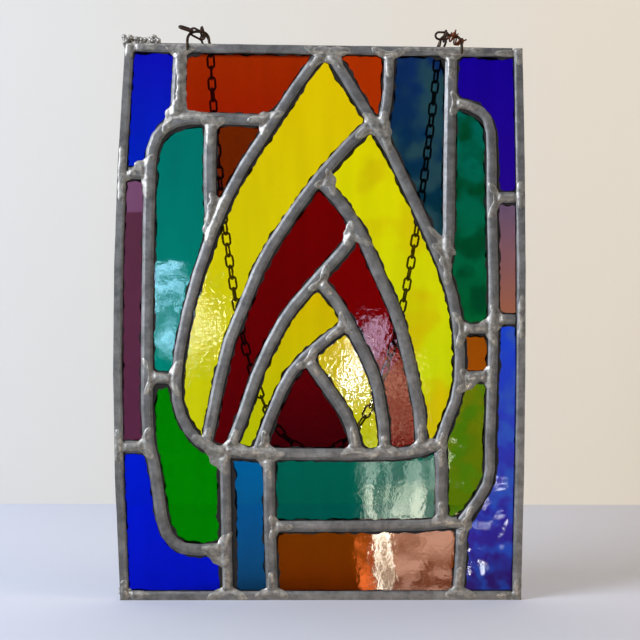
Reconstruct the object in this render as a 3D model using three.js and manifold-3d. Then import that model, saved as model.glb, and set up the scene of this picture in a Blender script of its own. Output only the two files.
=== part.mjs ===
// Stained glass window: a small leaded panel with a flame in a rounded frame.
// It hangs from two wire eyes on its top border, and a chain of oval links runs from eye to eye.
//
// The panel is laid out flat, as on a glazier's bench: x to the right, y up, z towards the viewer.
// At the end it is stood up, so that its face looks along -Y and its top is towards +Z.
// The origin lies between the two eyes, under their bows, where the panel hangs.
import * as THREE from 'three';
import { mergeVertices } from 'three/addons/utils/BufferGeometryUtils.js';
import Module from 'manifold-3d';

const wasm = await Module();
wasm.setup();

// Panel
const panelWidth = 203;
const panelHeight = 282;
const leftBow = 4.8; // how far the left side bellies out
const rightBow = 2.0;

// Glass
const glassThickness = 3.0;
const glassFaceSlack = 0.3; // between a pane's face and the lead
const glassEdgeSlack = 0.4; // between a pane's edge and the lead's heart

// Lead cames
const cameWidth = 6.35;
const heartThickness = 1.5;
const leafThickness = 1.2;
const crownShare = 0.5; // flat top of a rounded leaf, as a share of its width
const borderWidth = 4.9;
const borderHeart = 1.6;
const borderLip = 1.2; // slope at the border's inner edge
const buttGap = 0.3; // where one piece ends against another

// Hanging eyes
const eyeWire = 1.6;
const eyeSpan = 11.0; // between the centres of an eye's legs
const eyeClearance = 6.2; // from the panel's top to the underside of the bow
const eyeInset = 37.0; // from the panel's side to the eye's middle
const eyeLap = 4.2; // the outer leg's length down the border's face
// The free form of an eye between its feet, from the outer leg to the inner one, by shares: across of
// the span, up of the bow's height, and out of the outer leg's distance in front of the glass.
const eyeForm = [
  [0.5, 0.09, 1],
  [0.5, 0.55, 0.35],
  [0.34, 0.91, 0.1],
  [0, 1, 0],
  [-0.34, 0.91, 0],
  [-0.5, 0.49, 0],
];

// Chain
const linkWire = 1.2;
const linkWidth = 5.0;
const linkPitch = 5.8;
const linkBite = 0.1; // how far two links press into each other
const linkShoulder = 0.34; // half the flat end of a link, as a share of its width
const hangLength = 446.0; // of the free loop behind the panel
const chainGap = 0.4; // between the chain and the back of the lead
const chainDrift = 2.6; // the loop's lowest point lies this far left of the middle
const gripShiftLeft = 1.5; // from the eye's middle towards the panel's middle
const gripShiftRight = 2.4;
const edgeRise = 3.1; // of the chain over the panel's top, where it bends down behind it
const edgeBack = 0.82; // its way to the back there, as a share of the loop's
const edgeDraw = 0.4; // its way from the eye to the loop's end there, as a share

// Copper tie wire
const tieWire = 0.7;
const tieTurns = 4;
const tieLength = 4.0; // along the eye's wire
const tiePlace = 0.53; // its middle, as a share of the eye's wire from the outer leg's foot

// Fineness of the faceted solids
const bendTolerance = 0.3; // how far a facet may stand off its curve
const longestStep = 120;
const borderSideSteps = 5; // odd, so that each side has a middle facet square to the panel
const wireSides = 8;
const tieSides = 5;
const tieStepsPerTurn = 8;

// Fineness of the lines that are measured on the way
const samplesPerSpan = 40;
const bowSamples = 400;
const routeSamples = 2000;
const loopStations = 14; // on each half of the hanging loop
const negligible = 0.00001; // a length, or a part of a step, that counts as none

const panelTop = -eyeClearance;
const channelDepth = glassThickness + 2 * glassFaceSlack;
const cameDepth = channelDepth + 2 * leafThickness;

const leadMaterial = new THREE.MeshStandardMaterial({ color: 0x77777a, roughness: 0.55, metalness: 0.7 });
const wireMaterial = new THREE.MeshStandardMaterial({ color: 0x55503f, roughness: 0.5, metalness: 0.7 });
const chainMaterial = new THREE.MeshStandardMaterial({ color: 0x3b2a24, roughness: 0.45, metalness: 0.8 });
const copperMaterial = new THREE.MeshStandardMaterial({ color: 0x8a4a2a, roughness: 0.4, metalness: 0.9 });

// A point of the panel by its shares of the width, from the left, and of the height, from the bottom.
function at(across, up) {
  return new THREE.Vector3((across - 0.5) * panelWidth, panelTop - (1 - up) * panelHeight, 0);
}

// Points on the panel's four outer edges. The sides belly out as flat arcs.
function leftEdge(up) {
  return at(0, up).setX(-panelWidth / 2 - 4 * leftBow * up * (1 - up));
}

function rightEdge(up) {
  return at(1, up).setX(panelWidth / 2 + 4 * rightBow * up * (1 - up));
}

function topEdge(across) {
  return at(across, 1);
}

function bottomEdge(across) {
  return at(across, 0);
}

// A smooth line whose steps lie closer together where it bends more.
class BentLine extends THREE.CatmullRomCurve3 {
  constructor(points) {
    super(points, false, 'centripetal');
    const samples = samplesPerSpan * (points.length - 1);
    this.needed = [0];
    let before = this.getTangent(0);
    for (let i = 1; i <= samples; i += 1) {
      const here = this.getTangent(i / samples);
      const run = this.getPoint(i / samples).distanceTo(this.getPoint((i - 1) / samples));
      const standOff = (here.angleTo(before) * run) / 8; // the height of so flat an arc over its chord
      const steps = Math.sqrt(standOff / bendTolerance) + run / longestStep;
      this.needed.push(this.needed[i - 1] + steps);
      before = here;
    }
    this.steps = Math.max(1, Math.ceil(this.needed[samples] - negligible));
  }

  getUtoTmapping(share) {
    const last = this.needed.length - 1;
    const wanted = share * this.needed[last];
    let i = 1;
    while (i < last && this.needed[i] < wanted) i += 1;
    const within = (wanted - this.needed[i - 1]) / (this.needed[i] - this.needed[i - 1]);
    return (i - 1 + within) / last;
  }
}

// The same line, run on straight at both ends.
function lengthened(points, by) {
  const line = new THREE.CatmullRomCurve3(points, false, 'centripetal');
  const before = line.getPoint(0).addScaledVector(line.getTangent(0), -by);
  const after = line.getPoint(1).addScaledVector(line.getTangent(1), by);
  return [before, ...points, after];
}

function shapeOf(corners) {
  return new THREE.Shape(corners.map(([x, y]) => new THREE.Vector2(x, y)));
}

function roundSection(diameter, sides) {
  const corners = [];
  for (let i = 0; i < sides; i += 1) {
    const turn = ((i + 0.5) / sides) * 2 * Math.PI;
    corners.push([(Math.cos(turn) * diameter) / 2, (Math.sin(turn) * diameter) / 2]);
  }
  return shapeOf(corners);
}

// In a section, x runs through the panel's depth and y runs across the line, to its left.
function cameSection() {
  const leaf = cameWidth / 2;
  const crown = leaf * crownShare;
  const heart = heartThickness / 2;
  const face = cameDepth / 2;
  const channel = channelDepth / 2;
  return shapeOf([
    [face, -crown], [face, crown], [channel, leaf], [channel, heart],
    [-channel, heart], [-channel, leaf], [-face, crown], [-face, -crown],
    [-channel, -leaf], [-channel, -heart], [channel, -heart], [channel, -leaf],
  ]);
}

// The border runs round clockwise, so its channel opens to the right: towards the glass.
function borderSection() {
  const face = cameDepth / 2;
  const channel = channelDepth / 2;
  const slope = borderWidth - borderLip;
  return shapeOf([
    [face, 0], [-face, 0], [-face, -slope], [-channel, -borderWidth],
    [-channel, -borderHeart], [channel, -borderHeart], [channel, -borderWidth], [face, -slope],
  ]);
}

function slotSection(right, left, depth) {
  return shapeOf([[depth / 2, -right], [depth / 2, left], [-depth / 2, left], [-depth / 2, -right]]);
}

function sweep(line, section, steps = line.steps) {
  return new THREE.ExtrudeGeometry(section, { steps, extrudePath: line, bevelEnabled: false });
}

function toSolid(geometry) {
  const bare = geometry.clone();
  bare.deleteAttribute('normal');
  bare.deleteAttribute('uv');
  const merged = mergeVertices(bare);
  return new wasm.Manifold(new wasm.Mesh({
    numProp: 3,
    vertProperties: new Float32Array(merged.attributes.position.array),
    triVerts: new Uint32Array(merged.index.array),
  }));
}

function toGeometry(solid) {
  const mesh = solid.getMesh();
  const geometry = new THREE.BufferGeometry();
  geometry.setAttribute('position', new THREE.BufferAttribute(new Float32Array(mesh.vertProperties), 3));
  geometry.setIndex(new THREE.BufferAttribute(new Uint32Array(mesh.triVerts), 1));
  return geometry;
}

const panel = new THREE.Group();
panel.rotation.x = Math.PI / 2;

function place(name, geometry, material) {
  const mesh = new THREE.Mesh(geometry, material);
  mesh.name = name;
  panel.add(mesh);
}

// Joints of the drawing that several leads share
const tip = topEdge(0.502);
const heel = at(0.256, 0.265);
const toe = at(0.794, 0.281);
const knee = at(0.851, 0.14);

// The border's leads, each running clockwise
const border = [
  { name: 'border_left', points: [0, 0.25, 0.5, 0.75, 1].map(leftEdge), steps: borderSideSteps },
  { name: 'border_right', points: [1, 0.75, 0.5, 0.25, 0].map(rightEdge), steps: borderSideSteps },
  { name: 'border_top', points: [0, 1].map(topEdge), steps: 1 },
  { name: 'border_bottom', points: [1, 0].map(bottomEdge), steps: 1 },
];

// The inner leads, in the order in which they are laid: each is cut back to those above it.
const leads = {
  flame_left: [
    tip, at(0.438, 0.936), at(0.373, 0.863), at(0.307, 0.791), at(0.252, 0.716), at(0.196, 0.61),
    at(0.155, 0.5), at(0.134, 0.4), at(0.139, 0.346), at(0.169, 0.3), at(0.213, 0.273), heel,
  ],
  flame_right: [
    tip, at(0.571, 0.92), at(0.622, 0.863), at(0.678, 0.795), at(0.723, 0.724), at(0.773, 0.65),
    at(0.814, 0.575), at(0.838, 0.5), at(0.844, 0.4), at(0.83, 0.349), at(0.809, 0.315), toe,
  ],
  upright_left: [heel, at(0.26, 0.16), bottomEdge(0.266)],
  base: [heel, at(0.312, 0.262), at(0.5, 0.261), at(0.69, 0.262), at(0.75, 0.269), toe],
  arch_left: [
    at(0.373, 0.863), at(0.29, 0.865), at(0.166, 0.865), at(0.123, 0.858), at(0.087, 0.839),
    at(0.068, 0.806), at(0.063, 0.74), at(0.06, 0.5), at(0.061, 0.34), at(0.067, 0.276),
    at(0.083, 0.231), at(0.1, 0.145), at(0.12, 0.11), at(0.15, 0.093), at(0.19, 0.089), at(0.261, 0.092),
  ],
  divider_right: [topEdge(0.82), at(0.816, 0.8), at(0.813, 0.634), at(0.803, 0.594)],
  arch_right: [
    at(0.818, 0.902), at(0.872, 0.893), at(0.907, 0.876), at(0.921, 0.845), at(0.922, 0.76), at(0.928, 0.62),
    at(0.929, 0.46), at(0.922, 0.3), at(0.917, 0.213), at(0.893, 0.18), knee,
  ],
  upright_middle: [at(0.366, 0.262), at(0.368, 0.16), bottomEdge(0.377)],
  sill: [at(0.369, 0.131), at(0.6, 0.132), at(0.76, 0.134), knee],
  upright_right: [knee, at(0.85, 0.09), bottomEdge(0.841)],
  post_right: [toe, at(0.8, 0.235), at(0.799, 0.185), at(0.801, 0.137)],
  divider_top_left: [topEdge(0.136), at(0.132, 0.93), at(0.127, 0.858)],
  divider_top_right: [topEdge(0.663), at(0.658, 0.905), at(0.641, 0.844)],
  divider_inner_left: [at(0.215, 0.865), at(0.212, 0.77), at(0.219, 0.654)],
  rib_outer_left: [
    at(0.622, 0.863), at(0.572, 0.83), at(0.481, 0.755), at(0.411, 0.684), at(0.348, 0.611),
    at(0.307, 0.539), at(0.266, 0.467), at(0.241, 0.395), at(0.226, 0.341), at(0.209, 0.275),
  ],
  rib_outer_right: [
    at(0.485, 0.758), at(0.536, 0.721), at(0.6, 0.65), at(0.644, 0.578), at(0.688, 0.507),
    at(0.726, 0.399), at(0.742, 0.345), at(0.751, 0.269),
  ],
  rib_inner_left: [
    at(0.585, 0.667), at(0.552, 0.632), at(0.462, 0.559), at(0.402, 0.504), at(0.34, 0.414),
    at(0.288, 0.306), at(0.265, 0.265),
  ],
  rib_inner_right: [
    at(0.484, 0.577), at(0.528, 0.541), at(0.585, 0.47), at(0.631, 0.398), at(0.652, 0.317),
    at(0.657, 0.262),
  ],
  heart_left: [at(0.564, 0.498), at(0.52, 0.476), at(0.42, 0.407), at(0.357, 0.306), at(0.335, 0.262)],
  heart_right: [at(0.457, 0.436), at(0.494, 0.397), at(0.564, 0.325), at(0.588, 0.262)],
  tie_upper_left: [leftEdge(0.765), at(0.064, 0.765)],
  tie_middle_left: [at(0.061, 0.398), at(0.134, 0.396)],
  tie_lower_left: [leftEdge(0.273), at(0.068, 0.273)],
  tie_upper_right: [at(0.923, 0.728), rightEdge(0.728)],
  tie_middle_right: [at(0.93, 0.506), rightEdge(0.506)],
  tie_amber_top: [at(0.84, 0.489), at(0.93, 0.489)],
  tie_amber_bottom: [at(0.844, 0.4), at(0.928, 0.404)],
};

// Each pane by a spot that lies inside it, with the colour of its glass.
const panes = [
  ['glass_cobalt_top_left', at(0.065, 0.92), 0x0a12c0],
  ['glass_orange_top', at(0.266, 0.925), 0x962300],
  ['glass_orange_tip_right', at(0.625, 0.94), 0xa03400],
  ['glass_blue_teal_top', at(0.74, 0.87), 0x003255],
  ['glass_ultramarine_top_right', at(0.909, 0.952), 0x140096],
  ['glass_plum_left', at(0.017, 0.536), 0x5a2d4b],
  ['glass_teal_left', at(0.129, 0.663), 0x00786e],
  ['glass_russet_left', at(0.255, 0.815), 0x5f1e00],
  ['glass_yellow_outer_left', at(0.293, 0.629), 0xebd200],
  ['glass_yellow_outer_right', at(0.695, 0.669), 0xebd200],
  ['glass_ruby_left', at(0.419, 0.612), 0x6e0000],
  ['glass_ruby_right', at(0.633, 0.51), 0x6e0000],
  ['glass_yellow_inner_left', at(0.419, 0.486), 0xd7be00],
  ['glass_yellow_inner_right', at(0.57, 0.398), 0xd7be00],
  ['glass_dark_red_heart', at(0.47, 0.343), 0x4b0008],
  ['glass_dark_green_right', at(0.872, 0.689), 0x005a37],
  ['glass_rose_right', at(0.965, 0.6), 0x82505a],
  ['glass_amber_right', at(0.884, 0.446), 0xb44b05],
  ['glass_olive_right', at(0.872, 0.274), 0x557805],
  ['glass_blue_right', at(0.967, 0.275), 0x1e3cc8],
  ['glass_green_lower_left', at(0.169, 0.214), 0x008200],
  ['glass_blue_lower_left', at(0.039, 0.142), 0x0005dc],
  ['glass_cerulean_lower', at(0.315, 0.144), 0x0064a5],
  ['glass_teal_lower', at(0.571, 0.199), 0x005f50],
  ['glass_brown_lower', at(0.546, 0.073), 0x6e3200],
];

// Lays the leads: each one is a sweep of its section, cut back by the room that the earlier ones take.
function layLeads() {
  let taken = null;
  let sheetCuts = null;
  const lay = (name, points, section, room, cut, steps) => {
    const line = new BentLine(points);
    const grown = new BentLine(lengthened(points, buttGap));
    const channel = new BentLine(lengthened(points, cut.overrun));
    let solid = toSolid(sweep(line, section, steps));
    if (taken) solid = solid.subtract(taken);
    const roomSolid = toSolid(sweep(grown, room));
    taken = taken ? taken.add(roomSolid) : roomSolid;
    const cutSolid = toSolid(sweep(channel, cut.section));
    sheetCuts = sheetCuts ? sheetCuts.add(cutSolid) : cutSolid;
    place(name, toGeometry(solid), leadMaterial);
  };

  const throughDepth = 2 * cameDepth;
  const borderCut = borderHeart + glassEdgeSlack;
  const borderRoom = slotSection(borderWidth + buttGap, cameWidth, throughDepth);
  const borderSlot = { section: slotSection(borderCut, borderWidth, throughDepth), overrun: borderWidth };
  for (const { name, points, steps } of border) {
    lay(name, points, borderSection(), borderRoom, borderSlot, steps);
  }

  const cameCut = heartThickness / 2 + glassEdgeSlack;
  const cameRoom = slotSection(cameWidth / 2 + buttGap, cameWidth / 2 + buttGap, throughDepth);
  const cameSlot = { section: slotSection(cameCut, cameCut, throughDepth), overrun: cameCut };
  for (const [name, points] of Object.entries(leads)) {
    lay(`came_${name}`, points, cameSection(), cameRoom, cameSlot);
  }
  return sheetCuts;
}

// Cuts all the panes out of one sheet, along the hearts of the leads.
function cutGlass(sheetCuts) {
  const reach = Math.max(leftBow, rightBow);
  const sheet = new THREE.BoxGeometry(panelWidth + 2 * reach, panelHeight, glassThickness);
  sheet.translate(0, panelTop - panelHeight / 2, 0);
  const pieces = toSolid(sheet).subtract(sheetCuts).decompose();
  const probe = heartThickness;
  for (const [name, spot, color] of panes) {
    const pin = new THREE.BoxGeometry(probe, probe, glassThickness);
    pin.translate(spot.x, spot.y, 0);
    const pinSolid = toSolid(pin);
    const piece = pieces.find((candidate) => !candidate.intersect(pinSolid).isEmpty());
    const glass = new THREE.MeshStandardMaterial({ color, roughness: 0.1, metalness: 0 });
    glass.transparent = true;
    glass.opacity = 0.6;
    place(name, toGeometry(piece), glass);
  }
}

// An eye: one leg lies on the border's face, the bow leans back over the edge, and the other leg
// stands on the border's top. side is -1 for the left eye and 1 for the right one.
function eyeLine(side) {
  const middle = side * (panelWidth / 2 - eyeInset);
  const outerFoot = middle + (side * eyeSpan) / 2;
  const innerFoot = middle - (side * eyeSpan) / 2;
  const onFace = (cameDepth + eyeWire) / 2 + buttGap;
  const bowHeight = eyeClearance + eyeWire / 2;
  const form = eyeForm.map(([across, up, out]) => new THREE.Vector3(
    middle + side * across * eyeSpan,
    panelTop + up * bowHeight,
    out * onFace,
  ));
  return new BentLine([
    new THREE.Vector3(outerFoot, panelTop - eyeLap, onFace),
    ...form,
    new THREE.Vector3(innerFoot, panelTop + buttGap, 0),
  ]);
}

// The spot on an eye's bow, at this distance from the eye's middle towards the panel's middle.
function gripOn(eye, side, shift) {
  const x = side * (panelWidth / 2 - eyeInset - shift);
  const bow = eye.getPoints(bowSamples).filter((point) => point.y > panelTop + eyeClearance / 2);
  return bow.reduce((best, point) => (Math.abs(point.x - x) < Math.abs(best.x - x) ? point : best));
}

// One flat link, its length along x, with straight ends and a belly on each side.
function linkGeometry(pitch) {
  const hole = (pitch - linkBite) / 2;
  const belly = linkWidth / 2;
  const end = hole + linkWire;
  const shoulder = linkShoulder * linkWidth;
  const slot = belly - linkWire;
  const shape = shapeOf([
    [end, -shoulder], [end, shoulder], [0, belly],
    [-end, shoulder], [-end, -shoulder], [0, -belly],
  ]);
  shape.holes.push(shapeOf([[hole, -slot], [hole, slot], [-hole, slot], [-hole, -slot]]));
  const link = new THREE.ExtrudeGeometry(shape, { depth: linkWire, bevelEnabled: false });
  link.translate(0, 0, -linkWire / 2);
  return link;
}

// The loop's width parameter: a rope hung from two points halfSpan from the middle has the length
// 2 a sinh(halfSpan / a). The interval is halved until a fits the wanted length.
function hangParameter(halfSpan, length) {
  const widestRatio = 12; // between a and the half span, either way
  let low = halfSpan / widestRatio;
  let high = halfSpan * widestRatio;
  while (high - low > negligible) {
    const middle = (low + high) / 2;
    const reached = 2 * middle * Math.sinh(halfSpan / middle);
    if (reached > length) low = middle;
    else high = middle;
  }
  return (low + high) / 2;
}

// The chain's route: from the left eye's bow over the panel's back edge, down behind the glass
// in a hanging curve, and up again to the right eye.
function chainRoute(leftEye, rightEye) {
  const back = -(cameDepth / 2 + linkWidth / 2 + chainGap);
  const halfSpan = panelWidth / 2 - eyeInset - eyeSpan / 2;
  const a = hangParameter(halfSpan, hangLength);
  const sag = a * (Math.cosh(halfSpan / a) - 1);
  const hangTop = panelTop - linkWidth / 2;
  const overEdge = (side, grip) => {
    const x = grip.x + edgeDraw * (side * halfSpan - grip.x);
    return [
      grip.clone().add(new THREE.Vector3(0, linkWidth / 2, linkWidth / 2)),
      grip,
      new THREE.Vector3(x, panelTop + edgeRise, edgeBack * back),
    ];
  };
  const loop = [];
  for (let i = -loopStations; i <= loopStations; i += 1) {
    const x = a * Math.asinh((i / loopStations) * Math.sinh(halfSpan / a));
    const drop = sag - a * (Math.cosh(x / a) - 1);
    loop.push(new THREE.Vector3(x - (chainDrift * drop) / sag, hangTop - drop, back));
  }
  const gripLeft = gripOn(leftEye, -1, gripShiftLeft);
  const gripRight = gripOn(rightEye, 1, gripShiftRight);
  return [...overEdge(-1, gripLeft), ...loop, ...overEdge(1, gripRight).reverse()];
}

// The points where one link bears on the next. The eyes pass through the first and the last link.
function chainContacts(leftEye, rightEye) {
  const route = chainRoute(leftEye, rightEye);
  const line = new THREE.CatmullRomCurve3(route, false, 'centripetal');
  line.arcLengthDivisions = routeSamples;
  const length = line.getLength();
  const overhang = linkWire + buttGap + eyeWire / 2;
  const bowAt = route[0].distanceTo(route[1]);
  const start = (bowAt - overhang) / length;
  const runShare = 1 - 2 * start;
  const count = 2 * Math.round(((runShare * length) / linkPitch - 1) / 2) + 1;
  const contacts = [];
  for (let i = 0; i <= count; i += 1) contacts.push(line.getPointAt(start + (i / count) * runShare));
  return contacts;
}

function buildChain(leftEye, rightEye) {
  const contacts = chainContacts(leftEye, rightEye);
  const links = [];
  const normal = new THREE.Vector3(1, 0, 0);
  for (let i = 0; i + 1 < contacts.length; i += 1) {
    const along = contacts[i + 1].clone().sub(contacts[i]);
    const pitch = along.length();
    along.normalize();
    normal.addScaledVector(along, -normal.dot(along)).normalize();
    const across = new THREE.Vector3().crossVectors(normal, along);
    const wide = i % 2 === 0 ? across : normal.clone();
    const flat = new THREE.Vector3().crossVectors(along, wide);
    const turn = new THREE.Matrix4().makeBasis(along, wide, flat);
    turn.setPosition(contacts[i].clone().add(contacts[i + 1]).multiplyScalar(0.5));
    links.push(toSolid(linkGeometry(pitch).applyMatrix4(turn)));
  }
  const chain = links.reduce((whole, link) => whole.add(link));
  place('chain', toGeometry(chain), chainMaterial);
}

// Copper wire wound round the outer shoulder of the right eye's bow.
function buildTieWire(eye) {
  const windRadius = eyeWire / 2 + buttGap + tieWire / 2;
  const line = new THREE.CatmullRomCurve3(eye.points, false, 'centripetal');
  const length = line.getLength();
  const stations = tieTurns * tieStepsPerTurn;
  const frames = line.computeFrenetFrames(bowSamples, false);
  const points = [];
  for (let i = 0; i <= stations; i += 1) {
    const share = tiePlace + ((i / stations - 0.5) * tieLength) / length;
    const frame = Math.round(share * bowSamples);
    const turn = (i / tieStepsPerTurn) * 2 * Math.PI;
    points.push(line.getPointAt(share)
      .addScaledVector(frames.normals[frame], windRadius * Math.cos(turn))
      .addScaledVector(frames.binormals[frame], windRadius * Math.sin(turn)));
  }
  const wire = new THREE.CatmullRomCurve3(points, false, 'centripetal');
  place('tie_wire', sweep(wire, roundSection(tieWire, tieSides), stations), copperMaterial);
}

cutGlass(layLeads());
const leftEye = eyeLine(-1);
const rightEye = eyeLine(1);
place('eye_left', sweep(leftEye, roundSection(eyeWire, wireSides)), wireMaterial);
place('eye_right', sweep(rightEye, roundSection(eyeWire, wireSides)), wireMaterial);
buildChain(leftEye, rightEye);
buildTieWire(rightEye);

const leadedWindow = new THREE.Group();
leadedWindow.add(panel);
export default leadedWindow;
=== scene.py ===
# Stained glass window: a small leaded panel, a flame in a rounded frame, with wire eyes and a chain.
# Lengths are in metres. The face looks along -Y, and the panel hangs from z = 0.
import math
import random

import bmesh
import bpy
from mathutils import Matrix, Vector, noise
from mathutils.bvhtree import BVHTree


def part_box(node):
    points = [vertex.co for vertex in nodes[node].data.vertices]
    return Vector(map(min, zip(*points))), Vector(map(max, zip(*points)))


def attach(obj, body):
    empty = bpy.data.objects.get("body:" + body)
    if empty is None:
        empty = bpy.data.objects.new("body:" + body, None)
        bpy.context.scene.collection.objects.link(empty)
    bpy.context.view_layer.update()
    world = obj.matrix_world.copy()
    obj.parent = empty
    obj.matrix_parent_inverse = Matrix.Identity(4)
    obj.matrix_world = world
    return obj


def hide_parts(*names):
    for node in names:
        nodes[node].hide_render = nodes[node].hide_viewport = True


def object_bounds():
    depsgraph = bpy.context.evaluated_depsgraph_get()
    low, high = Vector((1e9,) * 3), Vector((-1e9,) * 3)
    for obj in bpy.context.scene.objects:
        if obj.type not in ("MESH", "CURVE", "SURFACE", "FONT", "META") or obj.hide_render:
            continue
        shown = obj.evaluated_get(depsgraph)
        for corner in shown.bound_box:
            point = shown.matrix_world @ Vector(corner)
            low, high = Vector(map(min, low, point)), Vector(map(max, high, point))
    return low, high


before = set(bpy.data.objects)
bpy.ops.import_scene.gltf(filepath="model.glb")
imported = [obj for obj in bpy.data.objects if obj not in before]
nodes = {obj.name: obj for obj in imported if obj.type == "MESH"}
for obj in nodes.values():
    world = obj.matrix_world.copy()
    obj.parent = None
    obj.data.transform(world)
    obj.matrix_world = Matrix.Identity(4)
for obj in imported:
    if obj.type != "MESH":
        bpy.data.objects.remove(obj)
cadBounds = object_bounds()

mm = 0.001
leadNames = sorted(name for name in nodes if name.startswith(("border_", "came_")))
glassNames = sorted(name for name in nodes if name.startswith("glass_"))
chance = random.Random(11)
mergeGap = 0.002 * mm
cutGap = 0.001 * mm
flatAngle = 0.5  # degrees; faces that meet flatter than this become one


# Helpers

def linear(code):
    # An sRGB hex colour as the linear values that a shader takes
    shares = [int(code[i:i + 2], 16) / 255 for i in (1, 3, 5)]
    return (*[s / 12.92 if s <= 0.04045 else ((s + 0.055) / 1.055) ** 2.4 for s in shares], 1)


def addNode(material, kind, settings=None, links=None):
    node = material.node_tree.nodes.new(kind)
    for key, value in (settings or {}).items():
        if isinstance(key, int) or key in node.inputs:
            node.inputs[key].default_value = value
        else:
            setattr(node, key, value)
    for key, socket in (links or {}).items():
        material.node_tree.links.new(node.inputs[key], socket)
    return node


def newMaterial(name):
    material = bpy.data.materials.new(name)
    material.use_nodes = True
    material.node_tree.nodes.clear()
    return material


def finishMaterial(material, shader):
    addNode(material, "ShaderNodeOutputMaterial", links={"Surface": shader.outputs[0]})
    return material


def newPiece(name, shape, material, replaced=(), sharp=45):
    mesh = bpy.data.meshes.new(name)
    shape.to_mesh(mesh)
    shape.free()
    mesh.shade_smooth()
    mesh.set_sharp_from_angle(angle=math.radians(sharp))
    piece = bpy.data.objects.new(name, mesh)
    bpy.context.scene.collection.objects.link(piece)
    piece.data.materials.append(material)
    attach(piece, "root")
    if replaced:
        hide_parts(*replaced)
    return piece


def mergedCopy(node):
    shape = bmesh.new()
    shape.from_mesh(nodes[node].data)
    bmesh.ops.remove_doubles(shape, verts=shape.verts, dist=mergeGap)
    bmesh.ops.dissolve_limit(shape, angle_limit=math.radians(flatAngle), verts=shape.verts,
                             edges=shape.edges)
    return shape


def sliceUp(shape, step):
    # Cuts the shape across and along, so that it has vertices to bend at every step
    for axis in (0, 2):
        low = min(v.co[axis] for v in shape.verts)
        high = max(v.co[axis] for v in shape.verts)
        for i in range(math.floor(low / step) + 1, math.ceil(high / step)):
            where = Vector((0, 0, 0))
            where[axis] = i * step
            across = Vector((0, 0, 0))
            across[axis] = 1
            everything = shape.verts[:] + shape.edges[:] + shape.faces[:]
            bmesh.ops.bisect_plane(shape, geom=everything, dist=cutGap, plane_co=where, plane_no=across)


def roughen(shape, size, height):
    # Small dents and swells, along the faces' normals
    shape.normal_update()
    moves = [(v, v.normal * noise.noise(v.co / size) * height) for v in shape.verts]
    for vert, move in moves:
        vert.co += move


# Camera: a little to the left of the panel's middle, at the photograph's distance

cameraPlace = {
    "at": (-0.0279, -0.7036, -0.1607),
    "pitch": 1.17,  # degrees, upwards
    "yaw": -2.14,  # to the right
    "roll": -0.34,
    "lens": 77.6,
    "sensor": 36,
}
cameraData = bpy.data.cameras.new("camera")
cameraData.lens = cameraPlace["lens"]
cameraData.sensor_width = cameraPlace["sensor"]
camera = bpy.data.objects.new("camera", cameraData)
bpy.context.scene.collection.objects.link(camera)
turned = Matrix.Rotation(math.radians(cameraPlace["yaw"]), 4, "Z")
turned = turned @ Matrix.Rotation(math.radians(90 + cameraPlace["pitch"]), 4, "X")
turned = turned @ Matrix.Rotation(math.radians(-cameraPlace["roll"]), 4, "Z")
camera.matrix_world = Matrix.Translation(cameraPlace["at"]) @ turned
bpy.context.scene.camera = camera
print("camera placed")


# Materials

glassFinish = {
    "ior": 1.52,
    "rippleSize": 14 * mm,
    "rippleHeight": 0.08 * mm,
    "grainSize": 2.1 * mm,
    "grainHeight": 0.012 * mm,
    "roughness": 0.03,
    "streakSize": 9 * mm,
    "streakStretch": 0.15,  # how much slower a streak changes upwards
    "streakShades": (0.94, 1.06),
    "patchEdge": (0.46, 0.6),  # of its cloud: where a patch begins and where it is full
    "bandEdge": 0.6,  # millimetres, half the height in which a band's colour sets in
}


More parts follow.
